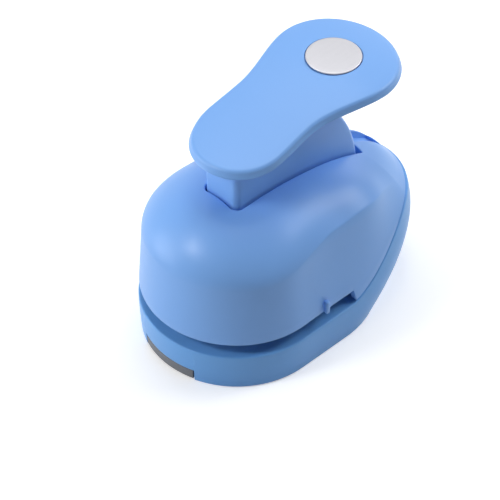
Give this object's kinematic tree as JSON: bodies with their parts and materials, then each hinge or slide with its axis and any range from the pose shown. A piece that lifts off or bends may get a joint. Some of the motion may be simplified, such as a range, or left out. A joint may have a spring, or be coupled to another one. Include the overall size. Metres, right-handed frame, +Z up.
{
  "type": "paper punch",
  "caption": "Lever-action circle punch with a rounded body, open throat, return spring and thumb pad on a pivoting stem",
  "frame": {"origin": "bottom centre of the whole punch at rest, on the surface that it stands on", "axes": "+Z up, -Y towards the round nose and the paper throat, +Y towards the heel under the pad's wide end, +X to the right, across the symmetric body"},
  "size_m": [0.0642, 0.1002, 0.0865],
  "materials": {
    "shell_plastic": "satin moulded plastic, cornflower blue",
    "lever_plastic": "satin moulded plastic, lighter sky blue",
    "base_plastic": "satin moulded plastic, deeper blue",
    "cover_plastic": "fine matt moulded plastic, blue grey",
    "inlay_silver": "satin silver, bevelled rim",
    "tool_steel": "ground and polished",
    "plate_steel": "rolled sheet, bright",
    "zinc_plate": "dull zinc plating",
    "spring_steel": "drawn spring wire and spring sheet",
    "pin_steel": "turned, smooth",
    "screw_steel": "bright zinc plated"
  },
  "bodies": {
    "housing": {"base_housing": "base_plastic", "upper_shell": "shell_plastic", "chip_cover": "cover_plastic", "die_plate": "tool_steel", "paper_stop": "plate_steel", "guide_plate": "plate_steel", "lever_bracket": "zinc_plate", "pivot_pin": "pin_steel", "pin_clip_left": "spring_steel", "pin_clip_right": "spring_steel", "spring_washer": "plate_steel", "return_spring": "spring_steel", "chassis_screw_left": "screw_steel", "chassis_screw_right": "screw_steel", "bracket_screw_left": "screw_steel", "bracket_screw_right": "screw_steel", "die_screw_left": "screw_steel", "die_screw_right": "screw_steel", "shell_screw_front_left": "screw_steel", "shell_screw_front_right": "screw_steel", "shell_screw_rear_left": "screw_steel", "shell_screw_rear_right": "screw_steel"},
    "lever": {"thumb_lever": "lever_plastic", "inlay_disc": "inlay_silver"},
    "punch": {"punch_cutter": "tool_steel", "punch_head": "zinc_plate", "punch_screw": "screw_steel"}
  },
  "joints": [
    {"name": "lever_hinge", "type": "hinge", "parent": "housing", "child": "lever", "pos_m": [0, -0.0209, 0.042], "axis": [-1, 0, 0], "range_deg": [0, 22], "stiffness_Nm_per_rad": 0.8, "springref_deg": -8.59},
    {"name": "punch_slide", "type": "slide", "parent": "housing", "child": "punch", "axis": [0, 0, -1], "range_m": [0, 0.0047], "deforming": ["return_spring"]}
  ],
  "couplings": [
    {"joint": "punch_slide", "follows": "lever_hinge", "m_per_rad": 0.012}
  ]
}
